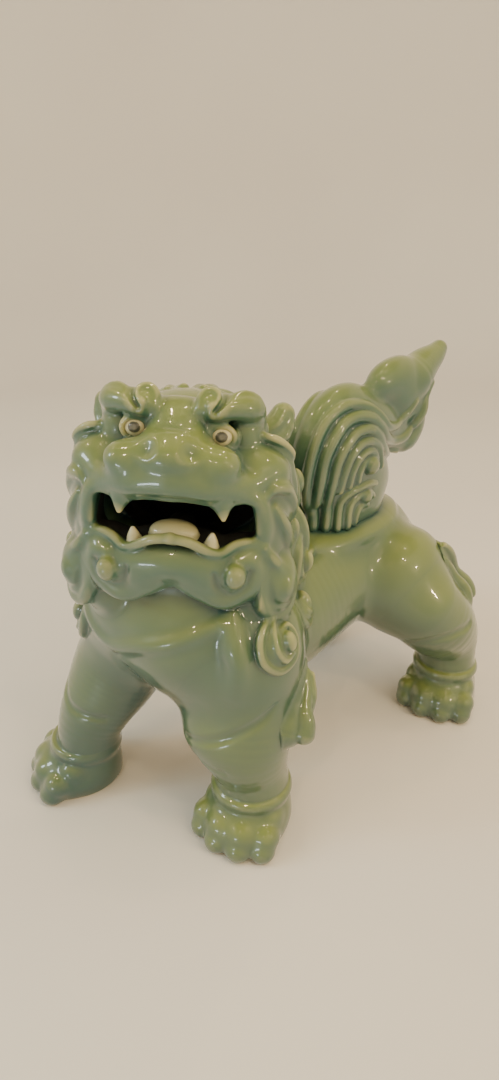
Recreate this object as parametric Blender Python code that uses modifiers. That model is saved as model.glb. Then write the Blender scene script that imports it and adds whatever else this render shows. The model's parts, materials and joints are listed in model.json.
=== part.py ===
"""Guardian lion in celadon porcelain: hollow cast shells and luted sprigs, tail fired apart.

The lion stands along Y with its front toward -Y, its left side toward +X and the ground at
z = 0. Shapes are laid out in millimetres about a point on the ground under the body, and the
finished assembly is moved so that its origin is the bottom centre of its bounding box.
"""
import math

import bmesh
import bpy
from mathutils import Euler, Matrix, Vector

# ---------------------------------------------------------------- driving dimensions
MM = 0.001
WALL = 6.0 * MM              # thickness of the cast shells
GAP = 0.5 * MM               # clearance between pieces that are luted or seated

HEAD_CENTRE = (-13.0, -121.0, 306.0)
HEAD_YAW = math.radians(40.0)       # the head is turned to the lion's left
HEAD_ROLL = math.radians(2.8)

ANKLES = {                   # ankle centre at the top of each paw: x, y
    "front_left": (57.0, -124.0),
    "front_right": (-78.0, -190.0),
    "hind_left": (88.0, 133.0),
    "hind_right": (-86.0, 130.0),
}
TOES = {                     # centre of the row of toes
    "front_left": (72.0, -172.0),
    "front_right": (-99.0, -237.0),
    "hind_left": (101.0, 92.0),
    "hind_right": (-98.0, 86.0),
}
ANKLE_RADIUS = {"front_left": 32.0, "front_right": 29.5, "hind_left": 30.5, "hind_right": 30.5}
ANKLE_HEIGHT = 47.0

TAIL_SEAT = (0.0, 42.0, 214.0)      # middle of the tail's foot on the back
TENON_RADIUS = 19.0
TENON_DEPTH = 16.0
TAIL_FLOOR = 8.0             # floor of the tail's hollow above its foot, over the tenon
VENT_RADIUS = 20.0           # hole through the trunk into each hollow leg
SIDES = ((1, "left"), (-1, "right"))

# ---------------------------------------------------------------- scene and materials
for old in list(bpy.data.objects):
    bpy.data.objects.remove(old, do_unlink=True)

parts = bpy.data.collections.new("guardian_lion")
cutters = bpy.data.collections.new("cutters")
for collection in (parts, cutters):
    bpy.context.scene.collection.children.link(collection)

COLOURS = {                  # base colour, roughness
    "celadon": ((0.36, 0.47, 0.33), 0.12),
    "celadon_pale": ((0.52, 0.58, 0.38), 0.12),
    "cream": ((0.78, 0.72, 0.52), 0.2),
}


def material(name, finish):
    """A material of its own for one piece, with the named finish."""
    colour, roughness = COLOURS[finish]
    result = bpy.data.materials.new(name)
    result.use_nodes = True
    shader = result.node_tree.nodes["Principled BSDF"]
    shader.inputs["Base Color"].default_value = (*colour, 1.0)
    shader.inputs["Roughness"].default_value = roughness
    shader.inputs["Metallic"].default_value = 0.0
    return result


# ---------------------------------------------------------------- modelling helpers
def mm(point):
    """A point given in millimetres, in metres."""
    return Vector(point) * MM


HEAD_FRAME = (Matrix.Translation(mm(HEAD_CENTRE)) @ Matrix.Rotation(HEAD_YAW, 4, "Z")
              @ Matrix.Rotation(HEAD_ROLL, 4, "Y"))
BODY_FRAME = Matrix.Identity(4)


def new_object(name, mesh):
    """Put a mesh in the cutters' collection as a working object."""
    result = bpy.data.objects.new(name, mesh)
    cutters.objects.link(result)
    return result


def ball(centre, radii, turn=(0.0, 0.0, 0.0), frame=BODY_FRAME, segments=20):
    """An ellipsoid: centre and radii in millimetres, turn in degrees."""
    mesh = bpy.data.meshes.new("ball")
    bm = bmesh.new()
    bmesh.ops.create_uvsphere(bm, u_segments=segments, v_segments=segments // 2, radius=1.0)
    size = Matrix.Diagonal((*(r * MM for r in radii), 1.0))
    spin = Euler([math.radians(a) for a in turn]).to_matrix().to_4x4()
    bm.transform(frame @ Matrix.Translation(mm(centre)) @ spin @ size)
    bm.to_mesh(mesh)
    bm.free()
    return new_object("ball", mesh)


def tube(points, frame=BODY_FRAME):
    """A round limb through points (x, y, z, radius) in millimetres, with round ends."""
    curve = bpy.data.curves.new("tube", "CURVE")
    curve.dimensions = "3D"
    curve.bevel_depth = MM
    curve.bevel_resolution = 3
    curve.resolution_u = 4
    curve.use_fill_caps = True
    spline = curve.splines.new("NURBS")
    spline.points.add(len(points) - 1)
    for control, (x, y, z, radius) in zip(spline.points, points):
        control.co = (x * MM, y * MM, z * MM, 1.0)
        control.radius = radius
    spline.order_u = 3
    spline.use_endpoint_u = True
    guide = bpy.data.objects.new("tube", curve)
    guide.matrix_world = frame
    cutters.objects.link(guide)
    result = meshed(guide)
    bpy.data.objects.remove(guide)
    ends = [ball(points[i][:3], [points[i][3]] * 3, frame=frame, segments=16) for i in (0, -1)]
    return join([result, *ends])


def meshed(source):
    """The evaluated mesh of an object as a new object in world space, its caps welded."""
    graph = bpy.context.evaluated_depsgraph_get()
    mesh = bpy.data.meshes.new_from_object(source.evaluated_get(graph))
    mesh.transform(source.matrix_world)
    bm = bmesh.new()
    bm.from_mesh(mesh)
    bmesh.ops.remove_doubles(bm, verts=bm.verts, dist=0.01 * MM)
    bm.to_mesh(mesh)
    bm.free()
    return new_object(source.name, mesh)


def join(pieces):
    """Gather several working meshes into one object."""
    bm = bmesh.new()
    for piece in pieces:
        bm.from_mesh(piece.data)
        bpy.data.objects.remove(piece)
    mesh = bpy.data.meshes.new("joined")
    bm.to_mesh(mesh)
    bm.free()
    return new_object("joined", mesh)


def settle(source, *modifiers):
    """Apply modifiers, each a kind and its settings, and return the new working object."""
    for kind, settings in modifiers:
        modifier = source.modifiers.new(kind.lower(), kind)
        for key, value in settings.items():
            setattr(modifier, key, value)
    result = meshed(source)
    bpy.data.objects.remove(source)
    return result


def decimated(source, triangles):
    """Reduce a mesh to about a number of triangles."""
    present = sum(len(p.vertices) - 2 for p in source.data.polygons)
    ratio = min(1.0, triangles / present)
    return settle(source, ("DECIMATE", {"ratio": ratio, "use_collapse_triangulate": True}))


def fused(pieces, voxel, triangles, smooth=4):
    """Melt overlapping shapes into one smooth closed skin."""
    skin = settle(join(pieces),
                  ("REMESH", {"mode": "VOXEL", "voxel_size": voxel * MM}),
                  ("SMOOTH", {"factor": 0.5, "iterations": smooth}))
    return decimated(skin, triangles)


def offset(source, distance, voxel=None, triangles=None):
    """A copy of a skin moved along its normals; a large move is remeshed and thinned."""
    copy = new_object("offset", source.data.copy())
    grown = settle(copy, ("DISPLACE", {"strength": distance, "mid_level": 0.0}))
    if voxel is None:
        return grown
    skin = settle(grown, ("REMESH", {"mode": "VOXEL", "voxel_size": voxel * MM}),
                  ("SMOOTH", {"factor": 0.5, "iterations": 2}))
    return decimated(skin, triangles)


def cut(source, *tools):
    """Subtract working meshes; the tools are left for other cuts."""
    for tool in tools:
        source = settle(source, ("BOOLEAN", {"operation": "DIFFERENCE", "object": tool}))
    return source


def joined_solid(source, *tools):
    """Union working meshes with a Boolean."""
    for tool in tools:
        source = settle(source, ("BOOLEAN", {"operation": "UNION", "object": tool}))
    return source


def rod(start, end, radius, frame=BODY_FRAME, segments=20):
    """A cylinder between two points in millimetres."""
    a, b = mm(start), mm(end)
    mesh = bpy.data.meshes.new("rod")
    bm = bmesh.new()
    bmesh.ops.create_cone(bm, cap_ends=True, segments=segments, radius1=radius * MM,
                          radius2=radius * MM, depth=(b - a).length)
    spin = (b - a).to_track_quat("Z", "Y").to_matrix().to_4x4()
    bm.transform(frame @ Matrix.Translation((a + b) / 2) @ spin)
    bm.to_mesh(mesh)
    bm.free()
    return new_object("rod", mesh)


def block(low, high):
    """A box between two corners in millimetres."""
    a, b = mm(low), mm(high)
    mesh = bpy.data.meshes.new("block")
    bm = bmesh.new()
    bmesh.ops.create_cube(bm, size=1.0)
    bm.transform(Matrix.Translation((a + b) / 2) @ Matrix.Diagonal((*(b - a), 1.0)))
    bm.to_mesh(mesh)
    bm.free()
    return new_object("block", mesh)


def prism(outline, depth_from, depth_to, frame=BODY_FRAME):
    """A flat outline of (x, z) points, drawn as a smooth closed curve, extruded along Y."""
    curve = bpy.data.curves.new("prism", "CURVE")
    curve.dimensions = "2D"
    curve.fill_mode = "BOTH"
    curve.resolution_u = 3
    curve.extrude = abs(depth_to - depth_from) / 2 * MM
    spline = curve.splines.new("BEZIER")
    spline.bezier_points.add(len(outline) - 1)
    for knot, (x, z) in zip(spline.bezier_points, outline):
        knot.co = (x * MM, z * MM, 0.0)
        knot.handle_left_type = knot.handle_right_type = "AUTO"
    spline.use_cyclic_u = True
    guide = bpy.data.objects.new("prism", curve)
    middle = Matrix.Translation((0.0, (depth_from + depth_to) / 2 * MM, 0.0))
    guide.matrix_world = frame @ middle @ Matrix.Rotation(math.radians(90.0), 4, "X")
    cutters.objects.link(guide)
    result = meshed(guide)
    bpy.data.objects.remove(guide)
    return result


def spiral(centre, radius, turns, thick, start):
    """Points of a scroll in the YZ plane that winds inward from an angle in degrees."""
    path = []
    for i in range(14):
        share = i / 13
        angle = math.radians(start) - turns * 2.0 * math.pi * share
        reach = radius * (1.0 - 0.85 * share)
        path.append((centre[0], centre[1] + reach * math.cos(angle),
                     centre[2] + reach * math.sin(angle), thick * (1.0 - 0.25 * share)))
    return path


def keep_largest(bm):
    """Drop the crumbs that a cut leaves beside the body of a piece."""
    waiting = set(bm.verts)
    bodies = []
    while waiting:
        body = set()
        edge = [waiting.pop()]
        while edge:
            vertex = edge.pop()
            body.add(vertex)
            near = {e.other_vert(vertex) for e in vertex.link_edges} & waiting
            waiting -= near
            edge.extend(near)
        bodies.append(body)
    bodies.sort(key=len)
    crumbs = [vertex for body in bodies[:-1] for vertex in body]
    bmesh.ops.delete(bm, geom=crumbs, context="VERTS")


def finish(name, source, finish_name="celadon"):
    """Name a working mesh as a finished piece, with its own material."""
    mesh = source.data
    bm = bmesh.new()
    bm.from_mesh(mesh)
    bmesh.ops.remove_doubles(bm, verts=bm.verts, dist=0.02 * MM)
    bmesh.ops.dissolve_degenerate(bm, edges=bm.edges, dist=0.01 * MM)
    bmesh.ops.triangulate(bm, faces=bm.faces)
    keep_largest(bm)
    bmesh.ops.recalc_face_normals(bm, faces=bm.faces)
    bm.to_mesh(mesh)
    bm.free()
    source.name = name
    mesh.name = name
    mesh.materials.clear()
    mesh.materials.append(material(name, finish_name))
    mesh.shade_smooth()
    mesh.set_sharp_from_angle(angle=math.radians(50.0))
    cutters.objects.unlink(source)
    parts.objects.link(source)
    return source


def mirrored(point):
    """A point or limb entry of the head's left side, on its right side."""
    return (-point[0], *point[1:])


# ---------------------------------------------------------------- trunk
def trunk_solid():
    """Barrel, chest, neck, shoulders and haunches as one outer skin."""
    barrel = tube([(-4, -120, 166, 64), (0, -55, 152, 62), (0, 10, 154, 57), (0, 70, 160, 56),
                   (0, 98, 160, 50)])
    chest = ball((-4, -138, 182), (60, 54, 56))
    breast = ball((-38, -150, 186), (52, 46, 52))
    neck = tube([(-6, -124, 196, 58), (-9, -120, 250, 52)])
    haunches = [ball((side * 48, 84, 146), (42, 54, 56), (0, side * 8, 0)) for side in (1, -1)]
    shoulders = [ball((44, -112, 172), (42, 46, 50)), ball((-54, -136, 172), (42, 46, 50))]
    lip = ball((TAIL_SEAT[0], TAIL_SEAT[1] + 4, TAIL_SEAT[2] - 8), (42, 72, 12))
    return fused([barrel, chest, breast, neck, *haunches, *shoulders, lip], 5.5, 960, smooth=4)


def head_solid():
    """Skull, muzzle, cheeks and ruff as one outer skin, in the head's own frame."""
    pieces = [
        ball((0, 4, 6), (58, 56, 54), frame=HEAD_FRAME),
        ball((0, -46, 24), (40, 32, 22), frame=HEAD_FRAME),
        ball((0, -58, 44), (17, 20, 12), frame=HEAD_FRAME),
        tube([(-44, -26, 52, 12), (0, -40, 56, 11), (44, -26, 52, 12)], frame=HEAD_FRAME),
        ball((0, 52, -40), (74, 34, 84), frame=HEAD_FRAME),
        ball((0, 18, -45), (72, 44, 40), frame=HEAD_FRAME),
    ]
    for side in (1, -1):
        pieces += [
            ball((side * 29, -64, 31), (14, 14, 13), frame=HEAD_FRAME),
            ball((side * 50, -18, -18), (32, 40, 46), frame=HEAD_FRAME),
            ball((side * 68, 18, -78), (26, 34, 58), frame=HEAD_FRAME),
            tube([(0, -70, 12, 9), (side * 26, -66, 8, 9), (side * 44, -56, 8, 9),
                  (side * 60, -40, -4, 9), (side * 62, -36, -28, 9)], frame=HEAD_FRAME),
        ]
    return fused(pieces, 4.5, 1250, smooth=2)


MOUTH = [(0, 6), (20, 4), (33, -7), (44, 2), (53, -6), (55, -30), (34, -40), (0, -26)]


def mouth_cutter():
    """The open mouth, from in front of the lips through to the hollow of the head."""
    outline = MOUTH + [(-x, z) for x, z in reversed(MOUTH[1:-1])]
    return prism(outline, -110, -12, frame=HEAD_FRAME)


def jaw_solid():
    """Lower lip, chin and the two rolls of the beard."""
    pieces = [ball((0, -50, -44), (46, 28, 20), frame=HEAD_FRAME),
              ball((0, -40, -52), (54, 26, 20), frame=HEAD_FRAME)]
    for side in (1, -1):
        pieces += [
            tube([(0, -68, -25, 8), (side * 18, -66, -29, 8), (side * 31, -60, -42, 8),
                  (side * 48, -48, -38, 8)], frame=HEAD_FRAME),
            ball((side * 39, -50, -56), (23, 22, 21), frame=HEAD_FRAME),
        ]
    return fused(pieces, 3.5, 420, smooth=2)


# ---------------------------------------------------------------- legs and paws
LEGS = {
    "front_left": [(40, -118, 146, 42), (47, -120, 112, 43), (55, -124, 72, 36)],
    "front_right": [(-64, -146, 146, 42), (-72, -160, 112, 41), (-78, -184, 72, 32)],
    "hind_left": [(70, 90, 126, 40), (80, 112, 100, 38), (88, 132, 72, 30)],
    "hind_right": [(-70, 88, 126, 40), (-79, 110, 100, 38), (-86, 130, 72, 30)],
}


def leg_path(place):
    """The leg's centre line down to the ankle."""
    x, y = ANKLES[place]
    return LEGS[place] + [(x, y, ANKLE_HEIGHT - 5, ANKLE_RADIUS[place])]


def leg_solid(place):
    """A tapering leg cut level at the ankle."""
    skin = fused([tube(leg_path(place))], 5.0, 200, smooth=2)
    return cut(skin, block((-200, -300, -50), (200, 300, ANKLE_HEIGHT - 3)))


def paw_frame(place):
    """Frame on the ground under the ankle, with -Y toward the toes."""
    ax, ay = ANKLES[place]
    tx, ty = TOES[place]
    turn = math.atan2(tx - ax, -(ty - ay))
    return Matrix.Translation(mm((ax, ay, 0))) @ Matrix.Rotation(turn, 4, "Z")


def paw_solid(place):
    """Pad, four toes with claws and the cuff round the ankle, on a level sole."""
    frame = paw_frame(place)
    radius = ANKLE_RADIUS[place]
    pieces = [ball((0, -2, 16), (radius + 6, radius + 6, 32), frame=frame),
              ball((0, -22, 12), (38, 32, 30), frame=frame),
              rod((0, 0, 20), (0, 0, ANKLE_HEIGHT), radius + 2, frame=frame)]
    for across, reach in ((-28, -30), (-10, -38), (10, -38), (28, -30)):
        pieces += [ball((across, reach, 12), (12, 22, 23), frame=frame, segments=12),
                   ball((across, reach - 15, 5), (8, 10, 12), frame=frame, segments=12)]
    skin = fused(pieces, 3.5, 330, smooth=1)
    return cut(skin, block((-200, -300, -50), (200, 300, 0)))


# ---------------------------------------------------------------- sprigs
def lock(path):
    """A lock of hair: a tapering roll that ends in a curl."""
    return fused([tube(path, frame=HEAD_FRAME)], 2.6, 76, smooth=1)


MANE_LEFT = {                # each lock from its root to its curl: x, y, z, radius
    "mane_lock_1": [(54, 18, 40, 7), (64, 4, 28, 9), (65, -4, 10, 11)],
    "mane_lock_2": [(70, 10, -2, 8), (82, 12, -28, 10), (83, 6, -50, 12)],
    "mane_lock_3": [(72, -4, -50, 7), (80, -8, -70, 9), (77, -12, -90, 11)],
    "mane_lock_4": [(84, 28, -48, 9), (93, 24, -70, 11), (93, 16, -92, 12)],
    "mane_lock_5": [(88, 24, -98, 9), (99, 12, -110, 10), (101, 2, -122, 11)],
    "mane_lock_7": [(60, 56, 10, 9), (72, 56, -20, 12), (76, 48, -48, 13)],
    "mane_lock_8": [(62, 70, -60, 9), (76, 66, -84, 12), (80, 56, -108, 13)],
}
MANE_SINGLE = {              # locks that have no twin on the other side
    "mane_lock_6_left": [(64, -50, -86, 7), (60, -64, -106, 10), (72, -68, -128, 11),
                         (87, -56, -126, 12), (90, -48, -112, 10)],
    "mane_lock_6_right": [(-84, 12, -112, 9), (-96, 0, -126, 11), (-102, -6, -142, 11),
                          (-96, -4, -156, 9)],
    "mane_lock_crown": [(-10, 46, 34, 9), (-6, 60, 16, 12), (0, 80, -8, 14)],
    "mane_lock_nape_left": [(24, 78, -24, 10), (36, 86, -52, 13), (32, 84, -80, 14)],
    "mane_lock_nape_right": [(-28, 78, -24, 10), (-40, 86, -52, 13), (-36, 84, -80, 14)],
}


def ear_solid(side):
    """A leaf-shaped ear that lies back on the skull."""
    return fused([tube([(side * 50, 20, 18, 10), (side * 64, 27, 26, 12),
                        (side * 63, 31, 40, 5)], frame=HEAD_FRAME)], 2.6, 80, smooth=1)


def brow_solid(side):
    """An eyebrow roll with a curl at each end."""
    return fused([
        tube([(side * 13, -44, 57, 7), (side * 22, -47, 60, 8), (side * 34, -44, 60, 9),
              (side * 44, -34, 56, 10)], frame=HEAD_FRAME),
        ball((side * 20, -36, 63), (11, 11, 7), frame=HEAD_FRAME),
        ball((side * 40, -29, 61), (11, 12, 8), frame=HEAD_FRAME)], 2.6, 150, smooth=1)


def fang_solid(root, tip, radius):
    """A blunt conical tooth."""
    return fused([tube([(*root, radius), (*tip, 1.6)], frame=HEAD_FRAME)], 1.2, 60, smooth=1)


def tuft_solid(path):
    """A flame-shaped tuft on the back of a leg."""
    return fused([tube(path)], 2.6, 80, smooth=1)


TUFTS = {
    "elbow_left": [(66, -84, 140, 7), (80, -84, 124, 10), (84, -90, 106, 9)],
    "elbow_right": [(-80, -112, 140, 7), (-96, -116, 122, 10), (-98, -126, 104, 9)],
    "hock_left": [(66, 142, 150, 8), (84, 152, 128, 12), (86, 148, 106, 8)],
    "hock_right": [(-64, 142, 150, 8), (-84, 150, 128, 12), (-86, 146, 106, 8)],
}


# ---------------------------------------------------------------- tail
def tail_solid():
    """The round scrolled bulb of the tail and its flame plume, without the tenon."""
    x, y, z = TAIL_SEAT
    bulb = [ball((x, y, z + 62), (31, 60, 64)),
            ball((x, y + 16, z + 24), (31, 52, 42)),
            rod((x, y, z - 10), (x, y, z + 20), 30)]
    plume = tube([(0, 56, 302, 26), (4, 100, 288, 22), (6, 128, 262, 14), (8, 146, 280, 18),
                  (8, 118, 310, 27), (8, 148, 330, 15), (9, 166, 340, 9), (10, 180, 349, 4)])
    return fused([*bulb, plume], 4.0, 640, smooth=2)


def tail_scroll(side):
    """The two scrolls and the bands that sweep over them, on one side of the tail."""
    x = side * 29
    upper = spiral((x, 56, 272), 22, 1.3, 5.5, 200)
    lower = spiral((x, 52, 238), 14, 1.1, 5.0, 150)
    band = [(side * 27, 12, 226, 6), (side * 29, 16, 262, 6), (side * 28, 34, 296, 6),
            (side * 24, 66, 306, 6), (side * 20, 96, 290, 6)]
    cores = [ball((side * 28, 56, 270), (8, 24, 24), segments=12),
             ball((side * 28, 52, 238), (7, 16, 16), segments=12)]
    return fused([tube(upper), tube(lower), tube(band), *cores], 3.0, 260, smooth=1)


# ---------------------------------------------------------------- assembly
trunk_skin = trunk_solid()
head_skin = head_solid()
jaw_skin = jaw_solid()
tail_skin = tail_solid()
leg_skins = {place: leg_solid(place) for place in LEGS}

trunk_clear = offset(trunk_skin, GAP)
head_clear = offset(head_skin, GAP)
head_whole = offset(head_skin, 0.0)
jaw_clear = offset(jaw_skin, GAP)
leg_clears = {place: offset(skin, GAP) for place, skin in leg_skins.items()}
tail_clear = offset(tail_skin, GAP)

# Trunk: a shell with the neck open, a seat for the tail's tenon and a vent into each leg.
seat_x, seat_y, seat_z = TAIL_SEAT
trunk_room = offset(trunk_skin, -WALL, 6.0, 460)
neck_port = rod((-6, -121, 200), (-9, -119, 330), 40)
seat = rod((seat_x, seat_y, seat_z - 30), (seat_x, seat_y, seat_z + 30), TENON_RADIUS + 1.0)
vents = [rod(path[0][:3], path[1][:3], VENT_RADIUS) for path in LEGS.values()]
finish("trunk", cut(trunk_skin, trunk_room, neck_port, seat, *vents))

# Head: a shell that stands over the neck, open at the mouth, with room for the jaw.
head_room = offset(head_skin, -WALL, 5.5, 460)
head = cut(head_skin, head_room, trunk_clear, mouth_cutter(), jaw_clear)
head_shell_clear = offset(head, GAP)
finish("head", head)
jaw_room = ball((0, -28, -54), (36, 24, 13), frame=HEAD_FRAME)
finish("lower_jaw", cut(jaw_skin, jaw_room, trunk_clear))

tongue_skin = fused([tube([(0, -24, -34, 13), (0, -44, -20, 15), (0, -56, -18, 13)],
                          frame=HEAD_FRAME),
                     ball((0, -46, -24), (19, 20, 12), frame=HEAD_FRAME)], 2.6, 110, smooth=1)
tongue_clear = offset(tongue_skin, GAP)
finish("tongue", cut(tongue_skin, jaw_clear, head_shell_clear, trunk_clear), "cream")
for side, label in SIDES:
    upper = fang_solid((side * 33, -57, 2), (side * 34, -62, -13), 6)
    finish(f"upper_fang_{label}", cut(upper, head_shell_clear))
    lower = fang_solid((side * 26, -60, -34), (side * 27, -56, -17), 6)
    finish(f"lower_fang_{label}", cut(lower, jaw_clear, head_shell_clear, tongue_clear), "cream")
    eye = ball((side * 29, -33, 40), (9, 9, 8), frame=HEAD_FRAME, segments=12)
    finish(f"eye_{label}", cut(eye, head_clear), "cream")

# Legs stand under the trunk and their cut ankles sit in the hollow paws.
for place, skin in leg_skins.items():
    end, side = place.split("_")
    inside = [(x, y, z, r - WALL / MM) for x, y, z, r in leg_path(place)]
    bore = fused([tube(inside)], 5.0, 90, smooth=2)
    drop = rod((*ANKLES[place], 70), (*ANKLES[place], 8), ANKLE_RADIUS[place] - WALL / MM)
    finish(f"{end}_leg_{side}", cut(skin, trunk_clear, bore, drop))
    finish(f"{end}_paw_{side}", cut(paw_solid(place), leg_clears[place], drop), "celadon_pale")

# Tail: a shell that rests on the back, with an open tenon down into the seat.
tail_room = cut(offset(tail_skin, -WALL, 5.0, 260),
                block((-100, -100, seat_z - 60), (100, 200, seat_z + TAIL_FLOOR)))
tenon = rod((seat_x, seat_y, seat_z - TENON_DEPTH), (seat_x, seat_y, seat_z + 20), TENON_RADIUS)
tenon_bore = rod((seat_x, seat_y, seat_z - 40), (seat_x, seat_y, seat_z + 40),
                 TENON_RADIUS - WALL / MM)
tail = joined_solid(cut(tail_skin, trunk_clear), tenon)
finish("tail", cut(tail, tail_room, tenon_bore))
for side, label in SIDES:
    finish(f"tail_scroll_{label}", cut(tail_scroll(side), tail_clear, trunk_clear))

# Sprigs: each one lies on the shells and is trimmed by those that were laid before it.
shells = [trunk_clear, head_clear, head_whole, jaw_clear]
laid = []


def lay(name, skin, *others):
    """Trim a sprig to what it lies on and keep its outline for the next ones."""
    outline = offset(skin, GAP)
    finish(name, cut(skin, *shells, *others, *laid))
    laid.append(outline)


for side, label in SIDES:
    lay(f"brow_scroll_{label}", brow_solid(side))
    lay(f"ear_{label}", ear_solid(side))
for name, path in MANE_LEFT.items():
    lay(f"{name}_left", lock(path))
    lay(f"{name}_right", lock([mirrored(point) for point in path]))
for name, path in MANE_SINGLE.items():
    lay(name, lock(path))
for place, path in TUFTS.items():
    legs = [leg_clears[leg] for leg in LEGS]
    lay(f"tuft_{place}", tuft_solid(path), *legs)

# ---------------------------------------------------------------- origin and clearing up
corners = [corner for piece in parts.objects for corner in (v.co for v in piece.data.vertices)]
low = Vector([min(c[axis] for c in corners) for axis in range(3)])
high = Vector([max(c[axis] for c in corners) for axis in range(3)])
SHIFT = Vector((-(low.x + high.x) / 2, -(low.y + high.y) / 2, -low.z))
for piece in parts.objects:
    piece.data.transform(Matrix.Translation(SHIFT))
for tool in list(cutters.objects):
    bpy.data.objects.remove(tool, do_unlink=True)
bpy.data.collections.remove(cutters)
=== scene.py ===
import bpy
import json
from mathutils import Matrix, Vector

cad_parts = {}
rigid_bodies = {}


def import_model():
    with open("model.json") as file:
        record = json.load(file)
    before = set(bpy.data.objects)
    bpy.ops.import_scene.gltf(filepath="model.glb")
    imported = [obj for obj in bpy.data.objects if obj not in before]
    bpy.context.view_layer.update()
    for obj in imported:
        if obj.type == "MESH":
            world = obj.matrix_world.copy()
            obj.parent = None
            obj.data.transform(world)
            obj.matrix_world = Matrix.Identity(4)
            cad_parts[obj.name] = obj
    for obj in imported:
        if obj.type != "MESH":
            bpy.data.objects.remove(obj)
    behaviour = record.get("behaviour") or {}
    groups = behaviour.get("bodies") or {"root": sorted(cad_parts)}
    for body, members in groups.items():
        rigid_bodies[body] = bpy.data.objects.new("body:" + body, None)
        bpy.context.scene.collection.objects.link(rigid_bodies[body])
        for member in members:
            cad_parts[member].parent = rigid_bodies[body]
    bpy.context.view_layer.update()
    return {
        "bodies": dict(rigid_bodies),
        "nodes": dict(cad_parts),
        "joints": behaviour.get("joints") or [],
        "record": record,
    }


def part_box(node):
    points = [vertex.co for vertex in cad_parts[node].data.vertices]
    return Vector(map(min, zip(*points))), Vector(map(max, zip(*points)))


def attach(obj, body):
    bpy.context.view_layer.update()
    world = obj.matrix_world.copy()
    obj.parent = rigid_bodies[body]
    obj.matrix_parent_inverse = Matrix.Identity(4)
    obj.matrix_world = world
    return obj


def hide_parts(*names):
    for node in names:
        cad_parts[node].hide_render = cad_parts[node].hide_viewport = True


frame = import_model()

# The looks of the celadon guardian lion.
#
# The lion is shaped as a potter would: each piece is a distance field on a lattice, laid on the
# pieces that are there already with a soft fillet of glaze, and then given its own closed skin.
# Shapes are in millimetres about the same ground point as in part.py, the front toward -Y, the
# lion's left toward +X; skins are moved to the row frame and metres when they are made.
import copy
import json
import math

import bmesh
import bpy
import numpy as np
import openvdb
from mathutils import Euler, Matrix, Vector

ORIGIN = np.array((-1.515, 35.249, 0.0))  # the design's ground point in the row frame, mm
HEAD_CENTRE = (-13.0, -121.0, 306.0)
HEAD_YAW, HEAD_ROLL = 40.0, 2.8  # degrees
HEAD_BEND = 65.0  # radius to which flat curls are bent on the head, mm
WHOLE = 50.0  # a step so long that a sampled path isn't sampled again, mm
PITCH = 1.25  # lattice spacing, mm
FAR = 60.0  # distance that stands for anything far away
BAND = 3 * PITCH  # half width of the field that a skin is made from
FILLET = 0.9  # share of the blend at which a skin ends inside older clay
DIVE_START, DIVE_RUN, DIVE = 0.55, 0.35, 0.35  # shares of the blend, and mm, by which it goes under first

HEAD = (Matrix.Translation(HEAD_CENTRE) @ Matrix.Rotation(math.radians(HEAD_YAW), 4, "Z")
        @ Matrix.Rotation(math.radians(HEAD_ROLL), 4, "Y"))
BODY = Matrix.Identity(4)
BOTH = (1, -1)
SIDES = ((1, "left"), (-1, "right"))


# ---- distance fields
def smin(a, b, k):
    """The smaller of two fields, rounded where they are within k of each other."""
    if k <= 0:
        return np.minimum(a, b)
    h = np.maximum(k - np.abs(a - b), 0.0) / k
    return np.minimum(a, b) - h * h * (k / 4)


class Shape:
    """A box in design space and a function that measures distances on a stretch of lattice.

    The function takes lattice coordinates and the margin beyond which distances may be left out.
    """

    def __init__(self, low, high, measure):
        self.low, self.high, self.measure = np.asarray(low), np.asarray(high), measure


def within(rows, x, y, z):
    """Coordinates in the frame whose inverse has these rows."""
    return (rows[i, 0] * x + rows[i, 1] * y + rows[i, 2] * z + rows[i, 3] for i in range(3))


def ball(centre, radii, turn=(0, 0, 0), frame=BODY):
    """An ellipsoid; turn is Euler degrees in the frame."""
    spin = Euler([math.radians(a) for a in turn]).to_matrix().to_4x4()
    place = frame @ Matrix.Translation(centre) @ spin
    rows = np.array(place.inverted(), np.float32)
    r = np.array(radii, np.float32)
    reach = np.sqrt((np.array(place.to_3x3()) ** 2) @ (r * r))
    middle = np.array(place.translation)

    def measure(x, y, z, margin):
        u, v, w = within(rows, x, y, z)
        near = np.sqrt((u / r[0]) ** 2 + (v / r[1]) ** 2 + (w / r[2]) ** 2)
        slope = np.sqrt((u / r[0] ** 2) ** 2 + (v / r[1] ** 2) ** 2 + (w / r[2] ** 2) ** 2)
        return near * (near - 1.0) / np.maximum(slope, 1e-6)

    return Shape(middle - reach, middle + reach, measure)


def spline(a, b, c, d, t):
    """The point at t, 0 to 1, on the smooth curve from b to c."""
    return 0.5 * (2 * b + (c - a) * t + (2 * a - 5 * b + 4 * c - d) * t * t
                  + (3 * b - a - 3 * c + d) * t ** 3)


def curve(points, frame=BODY, step=3.0):
    """A smooth curve through points (x, y, z, radius), sampled in design space."""
    p = np.array([(*(frame @ Vector(q[:3])), q[3]) for q in points], float)
    if len(p) < 2:
        return p
    p = np.vstack([2 * p[0] - p[1], p, 2 * p[-1] - p[-2]])
    out = []
    for a, b, c, d in zip(p, p[1:], p[2:], p[3:]):
        n = max(2, int(np.linalg.norm(c[:3] - b[:3]) / step))
        t = np.linspace(0, 1, n, endpoint=False)[:, None]
        out.append(spline(a, b, c, d, t))
    out.append(p[-2][None])
    out = np.vstack(out)
    out[:, 3] = np.clip(out[:, 3], p[:, 3].min() * 0.8, p[:, 3].max() * 1.05)
    return out


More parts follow.
